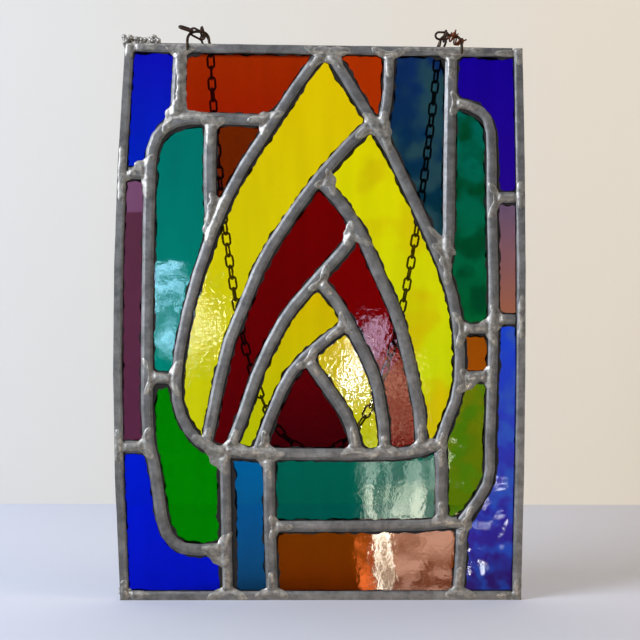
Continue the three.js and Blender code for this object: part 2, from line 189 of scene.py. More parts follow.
def rolledGlass(name, low, high, top, bottom, ripple=1.0, grain=1.0, patch=None, band=None):
    # Cathedral glass, a rolled coloured sheet: clear and glossy, with faint streaks and a slow ripple
    material = newMaterial(name)
    place = addNode(material, "ShaderNodeTexCoord")
    parts = addNode(material, "ShaderNodeSeparateXYZ", links={0: place.outputs["Object"]})
    fade = addNode(material, "ShaderNodeMapRange", {"From Min": low.z, "From Max": high.z},
                   {"Value": parts.outputs["Z"]})
    colour = addNode(material, "ShaderNodeMix", {"data_type": "RGBA", 6: linear(bottom), 7: linear(top)},
                     {0: fade.outputs[0]})
    if patch:
        code, size = patch
        begun, full = glassFinish["patchEdge"]
        blotch = addNode(material, "ShaderNodeTexNoise", {"Scale": 1 / (size * mm), "Detail": 2},
                         {"Vector": place.outputs["Object"]})
        share = addNode(material, "ShaderNodeMapRange", {"From Min": begun, "From Max": full},
                        {"Value": blotch.outputs[0]})
        colour = addNode(material, "ShaderNodeMix", {"data_type": "RGBA", 7: linear(code)},
                         {0: share.outputs[0], 6: colour.outputs[2]})
    # A band of another colour above a height: on the orange pane it is painted shade, the top lead's shadow
    # on the glass; on the plum pane it is a paler top
    if band:
        code, height = band
        edge = glassFinish["bandEdge"]
        above = addNode(material, "ShaderNodeMapRange",
                        {"From Min": (height - edge) * mm, "From Max": (height + edge) * mm},
                        {"Value": parts.outputs["Z"]})
        colour = addNode(material, "ShaderNodeMix", {"data_type": "RGBA", 7: linear(code)},
                         {0: above.outputs[0], 6: colour.outputs[2]})
    stretch = addNode(material, "ShaderNodeMapping", {"Scale": (1, 1, glassFinish["streakStretch"])},
                      {0: place.outputs["Object"]})
    streaks = addNode(material, "ShaderNodeTexNoise", {"Scale": 1 / glassFinish["streakSize"], "Detail": 3},
                      {"Vector": stretch.outputs[0]})
    deep, pale = glassFinish["streakShades"]
    shade = addNode(material, "ShaderNodeMapRange",
                    {"From Min": 0.3, "From Max": 0.7, "To Min": deep, "To Max": pale},
                    {"Value": streaks.outputs[0]})
    tinted = addNode(material, "ShaderNodeMix", {"data_type": "RGBA", "blend_type": "MULTIPLY", 0: 1.0},
                     {6: colour.outputs[2], 7: shade.outputs[0]})
    slow = addNode(material, "ShaderNodeTexNoise", {"Scale": 1 / glassFinish["rippleSize"], "Detail": 1},
                   {"Vector": place.outputs["Object"]})
    fine = addNode(material, "ShaderNodeTexNoise", {"Scale": 1 / glassFinish["grainSize"], "Detail": 2},
                   {"Vector": place.outputs["Object"]})
    waveHeight = glassFinish["rippleHeight"] * ripple
    skinHeight = glassFinish["grainHeight"] * grain
    wave = addNode(material, "ShaderNodeBump", {"Strength": 1, "Distance": waveHeight},
                   {"Height": slow.outputs[0]})
    skin = addNode(material, "ShaderNodeBump", {"Strength": 1, "Distance": skinHeight},
                   {"Height": fine.outputs[0], "Normal": wave.outputs[0]})
    shader = addNode(material, "ShaderNodeBsdfPrincipled",
                     {"Roughness": glassFinish["roughness"], "IOR": glassFinish["ior"],
                      "Transmission Weight": 1.0},
                     {"Base Color": tinted.outputs[2], "Normal": skin.outputs[0]})
    return finishMaterial(material, shader)


glossRange = (-0.1, 0.12)  # how far a metal's gloss strays from its roughness


def oldMetal(name, dark, light, metallic, roughness, patchSize, pitSize, pitHeight):
    # Aged metal: patches of two tones, uneven gloss and a pitted skin
    material = newMaterial(name)
    place = addNode(material, "ShaderNodeTexCoord")
    patches = addNode(material, "ShaderNodeTexNoise",
                      {"Scale": 1 / patchSize, "Detail": 6, "Roughness": 0.65},
                      {"Vector": place.outputs["Object"]})
    spread = addNode(material, "ShaderNodeMapRange", {"From Min": 0.35, "From Max": 0.65},
                     {"Value": patches.outputs[0]})
    colour = addNode(material, "ShaderNodeMix", {"data_type": "RGBA", 6: linear(dark), 7: linear(light)},
                     {0: spread.outputs[0]})
    pits = addNode(material, "ShaderNodeTexNoise", {"Scale": 1 / pitSize, "Detail": 4, "Roughness": 0.6},
                   {"Vector": place.outputs["Object"]})
    smooth, rough = [roughness + stray for stray in glossRange]
    gloss = addNode(material, "ShaderNodeMapRange",
                    {"From Min": 0.3, "From Max": 0.7, "To Min": smooth, "To Max": rough},
                    {"Value": pits.outputs[0]})
    skin = addNode(material, "ShaderNodeBump", {"Strength": 1, "Distance": pitHeight},
                   {"Height": pits.outputs[0]})
    shader = addNode(material, "ShaderNodeBsdfPrincipled", {"Metallic": metallic},
                     {"Base Color": colour.outputs[2], "Roughness": gloss.outputs[0],
                      "Normal": skin.outputs[0]})
    return finishMaterial(material, shader)


# Drawn lead, weathered: a dull middle grey with a soft sheen
leadMaterial = oldMetal("oxidised lead came", "#747270", "#A09E9A", 0.8, 0.5, 6 * mm, 0.8 * mm, 0.05 * mm)
# Tin and lead, poured: paler than the came, and brighter where it swells
solderMaterial = oldMetal("tin lead solder", "#84807A", "#D2CCC0", 0.86, 0.46, 3 * mm, 0.9 * mm, 0.05 * mm)
# Tinned wire, browned with age: nearly black, with a few dull glints
wireMaterial = oldMetal("tinned wire", "#2A2019", "#5C4C3A", 0.85, 0.42, 2 * mm, 0.6 * mm, 0.05 * mm)
# Bronzed links: dark brown, and a little warmer where they catch the light
chainMaterial = oldMetal("bronzed chain", "#2A1C18", "#5A4034", 0.85, 0.42, 3 * mm, 0.8 * mm, 0.04 * mm)
# Bare copper, half tarnished: red-brown with warm glints
copperMaterial = oldMetal("bare copper wire", "#4E2618", "#94522F", 0.9, 0.4, 2 * mm, 0.5 * mm, 0.03 * mm)
puttyFinish = {"dark": "#0C0A09", "light": "#2A241E", "crumbSize": 1.2 * mm, "crumbHeight": 0.15 * mm}


def driedPutty(name):
    # Glazing cement: linseed putty with lamp black, dry, matt and crumbly
    material = newMaterial(name)
    place = addNode(material, "ShaderNodeTexCoord")
    crumbs = addNode(material, "ShaderNodeTexNoise", {"Scale": 1 / puttyFinish["crumbSize"], "Detail": 5},
                     {"Vector": place.outputs["Object"]})
    tones = {6: linear(puttyFinish["dark"]), 7: linear(puttyFinish["light"])}
    colour = addNode(material, "ShaderNodeMix", {"data_type": "RGBA", **tones}, {0: crumbs.outputs[0]})
    skin = addNode(material, "ShaderNodeBump", {"Strength": 1, "Distance": puttyFinish["crumbHeight"]},
                   {"Height": crumbs.outputs[0]})
    shader = addNode(material, "ShaderNodeBsdfPrincipled", {"Roughness": 0.9},
                     {"Base Color": colour.outputs[2], "Normal": skin.outputs[0]})
    return finishMaterial(material, shader)


puttyMaterial = driedPutty("black glazing cement")


# Glass: each pane is cut up finely and given the slow unevenness of rolled sheet

paneFinish = {
    "glass_cobalt_top_left": {"top": "#1010D0", "bottom": "#0028D8"},
    # The orange pane's darker band above z = -12 mm is painted shade: the top lead's shadow on the glass
    "glass_orange_top": {"top": "#B03000", "bottom": "#A82000", "band": ("#681800", -12)},
    "glass_orange_tip_right": {"top": "#C03800", "bottom": "#C03800"},
    "glass_blue_teal_top": {"top": "#103070", "bottom": "#003838", "patch": ("#285060", 16)},
    "glass_ultramarine_top_right": {"top": "#1800B0", "bottom": "#2808A8"},
    "glass_plum_left": {"top": "#683850", "bottom": "#683050", "band": ("#885880", -92)},
    "glass_teal_left": {"top": "#008078", "bottom": "#009888"},
    "glass_russet_left": {"top": "#782800", "bottom": "#702000"},
    "glass_yellow_outer_left": {"top": "#FFE000", "bottom": "#E8F010", "grain": 7.0},
    "glass_yellow_outer_right": {"top": "#FFF800", "bottom": "#E0FF10", "grain": 4.0,
                                 "patch": ("#F0E008", 26)},
    "glass_ruby_left": {"top": "#800000", "bottom": "#600008"},
    "glass_ruby_right": {"top": "#880000", "bottom": "#780008", "grain": 3.0},
    "glass_yellow_inner_left": {"top": "#F8D800", "bottom": "#D0E008", "grain": 5.0},
    "glass_yellow_inner_right": {"top": "#F8D800", "bottom": "#D0E008", "grain": 7.0},
    "glass_dark_red_heart": {"top": "#680008", "bottom": "#400008"},
    "glass_dark_green_right": {"top": "#007068", "bottom": "#007038", "patch": ("#005030", 14)},
    "glass_rose_right": {"top": "#706088", "bottom": "#B07058"},
    "glass_amber_right": {"top": "#A85808", "bottom": "#B05808"},
    "glass_olive_right": {"top": "#809010", "bottom": "#608808", "patch": ("#589010", 11), "ripple": 3.0},
    "glass_blue_right": {"top": "#2050FF", "bottom": "#482890", "ripple": 3.5,
                         "patch": ("#3860E0", 10)},
    "glass_green_lower_left": {"top": "#009000", "bottom": "#009800"},
    "glass_blue_lower_left": {"top": "#0020F0", "bottom": "#0818D0"},
    "glass_cerulean_lower": {"top": "#0070B8", "bottom": "#185078"},
    "glass_teal_lower": {"top": "#007060", "bottom": "#006858", "ripple": 0.6},
    "glass_brown_lower": {"top": "#884000", "bottom": "#903800", "ripple": 0.6},
}
paneShape = {"step": 4 * mm, "waveSize": 26 * mm, "waveHeight": 0.07 * mm}


def rollPane(node):
    low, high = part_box(node)
    shape = mergedCopy(node)
    sliceUp(shape, paneShape["step"])
    for vert in shape.verts:
        side = -1 if vert.co.y < 0 else 1
        swell = noise.noise(vert.co / paneShape["waveSize"] + Vector((0, side, 0)))
        vert.co.y += swell * paneShape["waveHeight"]
    material = rolledGlass("rolled " + node.replace("_", " "), low, high, **paneFinish[node])
    newPiece(node.replace("glass_", "pane_"), shape, material, [node])


for node in glassNames:
    rollPane(node)
print("panes rolled")


# Lead: the cames with their edges dressed round and a few dents

leadShape = {
    "dressing": 1.35 * mm,  # from the crown's edge, both ways
    "edgeDressing": 0.85 * mm,  # the same on the panel's outer leads
    "segments": 4,
    "crown": 0.98,  # a crown's normal points at least this much along Y
    "flank": (0.6, 0.97),  # and a flank's, beside it, this much
    "step": 5 * mm,
    "dentSize": 9 * mm,
    "dentHeight": 0.13 * mm,
}


def dressLead(node):
    # The edges between a lead's crown and its flanks are bevelled round, and the whole is dented a little
    shape = mergedCopy(node)
    shape.normal_update()
    low, high = leadShape["flank"]
    crowns = []
    for edge in shape.edges:
        if len(edge.link_faces) != 2:
            continue
        tilts = sorted(abs(face.normal.y) for face in edge.link_faces)
        if tilts[1] > leadShape["crown"] and low < tilts[0] < high:
            crowns.append(edge)
    dressing = leadShape["edgeDressing"] if node.startswith("border_") else leadShape["dressing"]
    bmesh.ops.bevel(shape, geom=crowns, offset=dressing, segments=leadShape["segments"],
                    profile=0.5, affect="EDGES", material=-1, clamp_overlap=True)
    sliceUp(shape, leadShape["step"])
    roughen(shape, leadShape["dentSize"], leadShape["dentHeight"])
    newPiece(node.replace("border_", "edge_lead_").replace("came_", "lead_"), shape, leadMaterial,
             [node], sharp=50)


for node in leadNames:
    dressLead(node)
print("leads dressed")


# Solder: a flattened blob on each joint, with a tongue along every lead that meets there, on both faces

solderShape = {
    "reach": 0.45 * mm,  # the widest gap that counts as a joint
    "gather": 6 * mm,  # meeting points closer than this are one joint
    "ring": 8 * mm,  # where the leads round a joint are looked for
    "stations": 72,  # places on the ring
    "twoLeads": 17,  # a stretch of more stations than this is two leads side by side
    "straight": 1.84,  # two arms more than this share of the ring's radius apart are one lead
    "bed": 0.75 * mm,  # how far the middles of the drops lie below the leads' faces
    "blob": 3.4 * mm,
    "blobSpread": (0.9, 1.15),  # the smallest and the largest share of it
    "blobHeight": 1.15 * mm,
    "tongue": 2.6 * mm,  # half its width
    "tongueSpread": (0.85, 1.1),
    "tongueReach": (0.8, 1.5),  # of the arm that it lies on
    "tongueMiddle": 0.48,  # of its reach
    "tongueHalf": 0.6,  # the same, half its length
    "tongueHeight": (0.95, 1.1),  # millimetres
    "coatStep": 6 * mm,
    "coatHalf": (4.5, 6.5),  # millimetres, half the length of a pour
    "coatSpread": (0.9, 1.1),
    "coatHeight": (0.9, 1.15),  # millimetres
    "voxel": 0.47 * mm,
    "softening": 10,  # passes of smoothing once the drops are fused
    "levelling": 8,  # passes in depth alone, once they lie on the leads
    "thinning": 0.55,  # of a drop's height, once it has run down on the lead
    "sink": 0.12 * mm,
    "skirt": 0.3 * mm,  # how much further its underside lies inside the lead
    "corner": 2 * mm,  # how far it stands out beside a lead
    "margin": 0.15 * mm,  # past the panel's outer edge, at most
    "foot": 0.05 * mm,  # above the panel's lowest point, at least
    "grainSize": 2.2 * mm,
    "grainHeight": 0.1 * mm,
}
leadFace = 3 * mm
crownDepth = 2.5 * mm  # every lead's crown stands out further than this
leafDepth = 2.2 * mm  # at this depth a lead's leaf is met from the side
inFront = 0.05  # where a ray at the panel's face starts
besidePanel = 0.5  # where a ray at the panel's edge starts
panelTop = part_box("border_top")[1].z
panelBottom = cadBounds[0][2]


def leadTrees():
    vertices = []
    polygons = []
    owners = []
    for name in leadNames:
        mesh = nodes[name].data
        first = len(vertices)
        vertices.extend(v.co.copy() for v in mesh.vertices)
        for polygon in mesh.polygons:
            polygons.append([first + i for i in polygon.vertices])
            owners.append(name)
    return BVHTree.FromPolygons(vertices, polygons), owners


leadTree, leadOwners = leadTrees()


def findJoints():
    # The middles of the places where one lead comes near another
    found = []
    gather = solderShape["gather"]
    for name in leadNames:
        for vert in nodes[name].data.vertices:
            near = leadTree.find_nearest_range(vert.co, solderShape["reach"])
            if all(leadOwners[hit[2]] == name for hit in near):
                continue
            spot = Vector((vert.co.x, 0, vert.co.z))
            homes = (joint for joint in found if (joint["sum"] / joint["count"] - spot).length < gather)
            home = next(homes, None)
            if home is None:
                found.append({"sum": spot, "count": 1})
            else:
                home["sum"] += spot
                home["count"] += 1
    return [joint["sum"] / joint["count"] for joint in found]


def onLead(spot):
    hit = leadTree.ray_cast(Vector((spot.x, -inFront, spot.z)), Vector((0, 1, 0)))
    return hit[0] is not None and hit[0].y < -crownDepth


def armsAt(joint):
    # The middles of the stretches of a ring round the joint that lie on lead
    count = solderShape["stations"]
    ring = []
    for i in range(count):
        turn = 2 * math.pi * i / count
        ring.append(joint + Vector((math.cos(turn), 0, math.sin(turn))) * solderShape["ring"])
    covered = [onLead(spot) for spot in ring]
    if all(covered) or not any(covered):
        return []
    start = covered.index(False)
    arms = []
    run = []
    for i in range(start, start + count + 1):
        if covered[i % count]:
            run.append(ring[i % count])
        elif run:
            parts = 2 if len(run) > solderShape["twoLeads"] else 1
            for part in range(parts):
                arms.append(run[int((part + 0.5) * len(run) / parts)])
            run = []
    return arms


def centred(joint, arms):
    # Moves the joint onto the line of the lead that runs through it, or onto the crossing at a corner
    pairs = [(a, b) for a in arms for b in arms if a is not b]
    if not pairs:
        return joint
    a, b = max(pairs, key=lambda pair: (pair[0] - pair[1]).length)
    if (a - b).length < solderShape["straight"] * solderShape["ring"]:
        if len(arms) > 2:
            return joint
        upright, level = sorted((a, b), key=lambda arm: abs(arm.x - joint.x))
        return Vector((upright.x, 0, level.z))
    along = (b - a).normalized()
    return a + along * (joint - a).dot(along)


def leadSurface(spot, side):
    # How far the lead's face stands out at a spot; beside the lead, solder fills the corner lower down
    corner = solderShape["corner"]
    origin = Vector((spot.x, side * inFront, spot.z))
    hit = leadTree.ray_cast(origin, Vector((0, -side, 0)))
    return max(side * hit[0].y, corner) if hit[0] is not None else corner


def keepInside(vert):
    # Solder stops at the panel's outer edge
    margin = solderShape["margin"]
    for axis in (0, 2):
        for sign in (-1, 1):
            start = Vector((vert.co.x, leafDepth, vert.co.z))
            start[axis] = sign * besidePanel
            heading = Vector((0, 0, 0))
            heading[axis] = -sign
            hit = leadTree.ray_cast(start, heading)
            if hit[0] is None:
                continue
            excess = sign * (vert.co[axis] - hit[0][axis])
            if margin < excess < solderShape["blob"] * 2:
                vert.co[axis] = hit[0][axis] + sign * margin
    vert.co.z = max(vert.co.z, panelBottom + solderShape["foot"])


def addDrop(shape, middle, along, halfLength, halfWidth, halfHeight):
    # A flattened drop that lies in the panel's plane, its length along a direction
    turn = math.atan2(along.z, along.x)
    place = Matrix.Translation(middle) @ Matrix.Rotation(-turn, 4, "Y")
    place = place @ Matrix.Diagonal((halfLength, halfHeight, halfWidth, 1))
    bmesh.ops.create_icosphere(shape, subdivisions=2, radius=1, matrix=place)


solderCoats = [
    # x and z of both ends, half width: leads that solder covers for longer than its tongues
    (-101, -5.6, -55, -5.6, 2.6),
    (-73, -6.4, -73, -40.4, 3.1),
    (-73, -42, -59.4, -43.2, 2.9),
    (-59, -44, -58.4, -57, 2.7),
    (40, -6.5, 80, -7.0, 2.4),
    (-102, -72, -103, -86, 2.2),
    (-91, -74, -90, -84, 2.3),
    (54, -99, 66, -111, 2.2),
]
solderCrusts = [
    # x, z, half width, half height, drops, radius of a drop: places where it set in a crust of small drops
    (-93.5, -4.2, 9.5, 2.2, 80, 1.2),
    (-99.5, -8, 1.6, 4, 14, 1.0),
    (86, -6.6, 1.5, 0.4, 6, 0.8),
    (-99, -284.8, 2.8, 1.8, 12, 1.0),
    (100, -281.5, 1.5, 5.0, 22, 1.0),
]
crustShape = {
    "depth": 2.4,  # millimetres, to the front and to the back of the panel's middle
    "spread": (0.7, 1.2),  # the smallest and the largest share of a drop's radius
    "overlap": 0.7,  # of the radii of two drops: how near their middles come
    "fall": 0.2 * mm,
}
joints = findJoints()
print("joints found:", len(joints))


def pourDrops(shape, base):
    # The drops of one face: a blob and its tongues at each joint, then the long coats
    for joint in joints:
        arms = armsAt(joint)
        heart = centred(joint, arms)
        middle = Vector((heart.x, base, heart.z))
        size = solderShape["blob"] * chance.uniform(*solderShape["blobSpread"])
        addDrop(shape, middle, Vector((1, 0, 0)), size, size, solderShape["blobHeight"])
        for arm in arms:
            along = arm - heart
            reach = chance.uniform(*solderShape["tongueReach"])
            centre = middle + along * reach * solderShape["tongueMiddle"]
            halfLength = along.length * reach * solderShape["tongueHalf"]
            halfWidth = solderShape["tongue"] * chance.uniform(*solderShape["tongueSpread"])
            halfHeight = chance.uniform(*solderShape["tongueHeight"]) * mm
            addDrop(shape, centre, along, halfLength, halfWidth, halfHeight)
    for startX, startZ, endX, endZ, width in solderCoats:
        start = Vector((startX * mm, base, startZ * mm))
        along = Vector((endX * mm, base, endZ * mm)) - start
        pours = math.ceil(along.length / solderShape["coatStep"])
        for i in range(pours):
            middle = start + along * (i + 0.5) / pours
            halfLength = chance.uniform(*solderShape["coatHalf"]) * mm
            halfWidth = width * chance.uniform(*solderShape["coatSpread"]) * mm
            halfHeight = chance.uniform(*solderShape["coatHeight"]) * mm
            addDrop(shape, middle, along, halfLength, halfWidth, halfHeight)


def pourSolder(name, side):
    shape = bmesh.new()
    base = side * (leadFace - solderShape["bed"])
    pourDrops(shape, base)
    piece = newPiece(name, shape, solderMaterial)
    remesh = piece.modifiers.new("fuse", "REMESH")
    remesh.mode = "VOXEL"
    remesh.voxel_size = solderShape["voxel"]
    depsgraph = bpy.context.evaluated_depsgraph_get()
    fused = bmesh.new()
    fused.from_mesh(piece.evaluated_get(depsgraph).to_mesh())
    piece.modifiers.clear()
    for _ in range(solderShape["softening"]):
        bmesh.ops.smooth_vert(fused, verts=fused.verts, factor=0.5,
                              use_axis_x=True, use_axis_y=True, use_axis_z=True)
    for vert in fused.verts:
        keepInside(vert)
        rise = side * (vert.co.y - base)
        under = leadSurface(vert.co, side)
        grain = noise.noise(vert.co / solderShape["grainSize"]) * solderShape["grainHeight"]
        if rise > 0:
            vert.co.y = side * (under + rise * solderShape["thinning"] - solderShape["sink"] + grain)
        else:
            vert.co.y = side * (under - solderShape["sink"] - solderShape["skirt"])
    for _ in range(solderShape["levelling"]):
        bmesh.ops.smooth_vert(fused, verts=fused.verts, factor=0.5,
                              use_axis_x=False, use_axis_y=True, use_axis_z=False)
    fused.to_mesh(piece.data)
    fused.free()
    piece.data.shade_smooth()
    print(name, "faces:", len(piece.data.polygons))


pourSolder("solder_front", -1)
pourSolder("solder_back", 1)
crust = bmesh.new()
depth = crustShape["depth"]
settled = []
for x, z, halfWidth, halfHeight, drops, radius in solderCrusts:
    for _ in range(drops):
        spot = Vector((x + chance.uniform(-halfWidth, halfWidth), chance.uniform(-depth, depth),
                       z + chance.uniform(-halfHeight, halfHeight))) * mm
        size = radius * chance.uniform(*crustShape["spread"]) * mm
        room = size * crustShape["overlap"]
        # It falls until it rests on the lead or on an earlier drop
        while spot.z - size / 2 > panelTop and all((spot - other).length > near + room
                                                   for other, near in settled):
            spot.z -= crustShape["fall"]
        settled.append((spot, room))
        bmesh.ops.create_icosphere(crust, subdivisions=2, radius=size, matrix=Matrix.Translation(spot))
newPiece("solder_crust", crust, solderMaterial, sharp=80)
print("solder poured")


# Cement: a dark, uneven bead along the edge of every pane, on both faces; where it is wider it also paints
# the cames' shadow on the glass

puttyShape = {
    "step": 1.5 * mm,
    "width": 2.15 * mm,  # from the pane's edge; the lead hides the first 2 mm
    "lean": 0.5 * mm,  # wider on the right of a lead and below it: partly cement, partly painted shade, the came's shadow on the glass
    "waver": 0.6 * mm,
    "waverSize": 3.5 * mm,
    "rounding": 12,  # passes that round the bead in the pane's corners
    "height": 0.28 * mm,
    "facing": 0.9,  # a pane's face has a normal at least this much towards its side
}
puttyAndShadeSpots = [
    # x, z, how far it reaches and how much wider the bead is in its middle; these wide spots are partly
    # cement, partly painted shade where a came's shadow falls on the glass
    (-46, -226, 14, 1.6),
    (-46, -244, 14, 2.0),
    (-46, -262, 14, 1.6),
    (-46, -276, 12, 1.8),
    (-84, -182, 9, 2.2),
    (-75, -44, 9, 1.6),
    (-60, -48, 5, 1.4),
    (-69, -9, 6, 2.6),
    (10, -20, 9, 1.4),
    (62, -12, 9, 1.8),
    (90, -14, 8, 1.6),
    (-29, -214, 8, 1.2),
    (70, -167, 6, 1.0),
]


def roundRim(rim):
    # Draws the rim's vertices towards their neighbours, so that its corners turn round
    for _ in range(puttyShape["rounding"]):
        moved = {}
        for vert in rim:
            neighbours = [edge.other_vert(vert) for edge in vert.link_edges]
            beside = [other.co for other in neighbours if other in rim]
            if len(beside) == 2:
                moved[vert] = vert.co.lerp((beside[0] + beside[1]) / 2, 0.5)
        for vert, spot in moved.items():
            vert.co = spot


def fray(rim):
    # Makes the rim ragged, wider on two sides and widest at the listed spots; the extra width is partly
    # painted shade, the cames' shadow on the glass
    for vert in rim:
        inward = Vector((0, 0, 0))
        for edge in vert.link_edges:
            other = edge.other_vert(vert)
            if other not in rim:
                inward += vert.co - other.co
        if inward.length:
            inward.normalize()
            more = noise.noise(vert.co / puttyShape["waverSize"]) * puttyShape["waver"] * 2
            more += (max(inward.x, 0) + max(-inward.z, 0)) * puttyShape["lean"]
            for x, z, reach, extra in puttyAndShadeSpots:
                gap = (Vector((x * mm, vert.co.y, z * mm)) - vert.co).length
                more += max(0, 1 - gap / (reach * mm)) * extra * mm
            vert.co += inward * more


def layPutty(name, side):
    shape = bmesh.new()
    for node in glassNames:
        pane = mergedCopy(node)
        pane.normal_update()
        hidden = [face for face in pane.faces if face.normal.y * side < puttyShape["facing"]]
        bmesh.ops.delete(pane, geom=hidden, context="FACES")
        for edge in pane.edges[:]:
            cuts = int(edge.calc_length() / puttyShape["step"])
            if cuts:
                bmesh.ops.subdivide_edges(pane, edges=[edge], cuts=cuts)
        inner = bmesh.ops.inset_region(pane, faces=pane.faces[:], thickness=puttyShape["width"],
                                       use_boundary=True, use_even_offset=True)
        ring = inner["faces"]
        middle = [face for face in pane.faces if face not in ring]
        rim = {vert for face in middle for vert in face.verts}
        bmesh.ops.delete(pane, geom=middle, context="FACES_ONLY")
        roundRim(rim)
        fray(rim)
        raised = bmesh.ops.extrude_face_region(pane, geom=pane.faces[:])
        lifted = [item for item in raised["geom"] if isinstance(item, bmesh.types.BMVert)]
        for vert in lifted:
            vert.co.y += side * puttyShape["height"]
        mesh = bpy.data.meshes.new("bead")
        pane.to_mesh(mesh)
        pane.free()
        shape.from_mesh(mesh)
        bpy.data.meshes.remove(mesh)
    bmesh.ops.recalc_face_normals(shape, faces=shape.faces)
    newPiece(name, shape, puttyMaterial)


layPutty("cement_front", -1)
layPutty("cement_back", 1)
print("cement laid")


# Chain: small twisted oval links of bronzed wire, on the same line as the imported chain

chainShape = {
    "wire": 1.2 * mm,
    "width": 5 * mm,
    "pitch": 5.8 * mm,
    "bite": 0.1 * mm,  # how far a link presses into the next
    "loop": 446 * mm,  # the free length behind the panel
    "stations": 14,  # points on each half of it
    "back": 5.9 * mm,  # from the glass's middle to the chain's
    "halfSpan": 59 * mm,
    "drift": 2.6 * mm,  # of its lowest point, to the left
    "grips": (-63 * mm, 62.1 * mm),  # where the eyes hold it
    "gripHeight": 0.75 * mm,
    "gripRise": 0.3,  # how steeply it begins at an eye
    "edgeRise": 3.1 * mm,  # over the top border
    "edgeBack": 0.82,  # of the way back, where it passes the border
    "edgeDraw": 0.4,  # of the way from the eye to the loop's end, at the same place
    "smoothness": 24,  # points on the line between two points of the route
    "twist": 16,  # degrees, at most, out of each link's place
    "around": 14,
    "sides": 7,
    "slack": 0.3 * mm,  # between the end links and the eyes
    "tail": ((-61.9, -1.0, 3.8), (-68.1, -1.2, 7.0), (-73.8, -1.5, 8.8)),  # millimetres, from the top
    "tailTurn": 67,
    "ringPlace": (60.2, -1.4, 6.2),
    "ringTurn": 84,
    "ringPitch": 6.9 * mm,
}
eyeWire = 1.6 * mm
topPoint = Vector((0, 0, panelTop))


def smoothLine(points, perSpan):
    # A curve through the points that doesn't overshoot where they lie close together
    ends = [points[0] * 2 - points[1], *points, points[-1] * 2 - points[-2]]
    line = []
    for before, start, end, after in zip(ends, ends[1:], ends[2:], ends[3:]):
        first = math.sqrt((start - before).length)
        middle = math.sqrt((end - start).length)
        last = math.sqrt((after - end).length)
        leave = (start - before) / first - (end - before) / (first + middle) + (end - start) / middle
        leave *= middle
        arrive = (end - start) / middle - (after - start) / (middle + last) + (after - end) / last
        arrive *= middle
        for i in range(perSpan):
            t = i / perSpan
            line.append(start * (2 * t ** 3 - 3 * t ** 2 + 1) + leave * (t ** 3 - 2 * t ** 2 + t)
                        + end * (3 * t ** 2 - 2 * t ** 3) + arrive * (t ** 3 - t ** 2))
    line.append(points[-1])
    return line


def spacedPoints(line, start, end, count):
    # count + 1 points at even distances along the line, between two distances from its beginning
    spots = []
    walked = 0
    wanted = [start + (end - start) * i / count for i in range(count + 1)]
    for a, b in zip(line, line[1:]):
        step = (b - a).length
        while wanted and wanted[0] <= walked + step:
            spots.append(a.lerp(b, (wanted.pop(0) - walked) / step))
        walked += step
    return spots + [line[-1]] * len(wanted)


def chainRoute():
    # From eye to eye: over the top border and down behind the panel in a catenary of the loop's length
    back = chainShape["back"]
    half = chainShape["halfSpan"]
    low = half / 12
    high = half * 12
    closeEnough = 1e-9
    while high - low > closeEnough:
        flatness = (low + high) / 2
        if 2 * flatness * math.sinh(half / flatness) > chainShape["loop"]:
            low = flatness
        else:
            high = flatness
    sag = flatness * (math.cosh(half / flatness) - 1)
    ends = []
    for side, grip in zip((-1, 1), chainShape["grips"]):
        hold = Vector((grip, 0, chainShape["gripHeight"]))
        edge = grip + chainShape["edgeDraw"] * (side * half - grip)
        reach = chainShape["width"] / 2
        ends.append([hold + Vector((0, -reach, reach * chainShape["gripRise"])), hold,
                     Vector((edge, chainShape["edgeBack"] * back, panelTop + chainShape["edgeRise"]))])
    loop = []
    loopTop = panelTop - chainShape["width"] / 2
    stations = chainShape["stations"]
    for i in range(-stations, stations + 1):
        x = flatness * math.asinh(i / stations * math.sinh(half / flatness))
        drop = sag - flatness * (math.cosh(x / flatness) - 1)
        loop.append(Vector((x - chainShape["drift"] * drop / sag, back, loopTop - drop)))
    return ends[0] + loop + ends[1][::-1]


def linkMesh(pitch):
    # One link: wire spun into a ring, then drawn out into an oval
    wire = chainShape["wire"]
    bend = (chainShape["width"] - wire) / 2
    stretch = (pitch - chainShape["bite"] + wire) / 2 - bend
    shape = bmesh.new()
    upright = Matrix.Translation((bend, 0, 0)) @ Matrix.Rotation(math.radians(90), 4, "X")
    bmesh.ops.create_circle(shape, segments=chainShape["sides"], radius=wire / 2, matrix=upright)
    bmesh.ops.spin(shape, geom=shape.verts[:] + shape.edges[:], cent=(0, 0, 0), axis=(0, 0, 1),
                   angle=2 * math.pi, steps=chainShape["around"], use_merge=True)
    bmesh.ops.recalc_face_normals(shape, faces=shape.faces)
    for vert in shape.verts:
        vert.co.x += math.copysign(stretch, vert.co.x)
    mesh = bpy.data.meshes.new("link")
    shape.to_mesh(mesh)
    shape.free()
    return mesh


def strungLinks(shape, spots, turnAt=0.0):
    # A link from each spot to the next, every other one a quarter turn round
    side = Vector((1, 0, 0))
    for i, (start, end) in enumerate(zip(spots, spots[1:])):
        along = (end - start).normalized()
        side = (side - along * side.dot(along)).normalized()
        across = side.cross(along)
        quarter = 0 if i % 2 == 0 else 90
        turn = math.radians(quarter + turnAt + chance.uniform(-1, 1) * chainShape["twist"])
        wide = across * math.cos(turn) + side * math.sin(turn)
        flat = along.cross(wide)
        place = Matrix((along, wide, flat)).transposed().to_4x4()
        place.translation = (start + end) / 2
        mesh = linkMesh((end - start).length)
        mesh.transform(place)
        shape.from_mesh(mesh)
        bpy.data.meshes.remove(mesh)


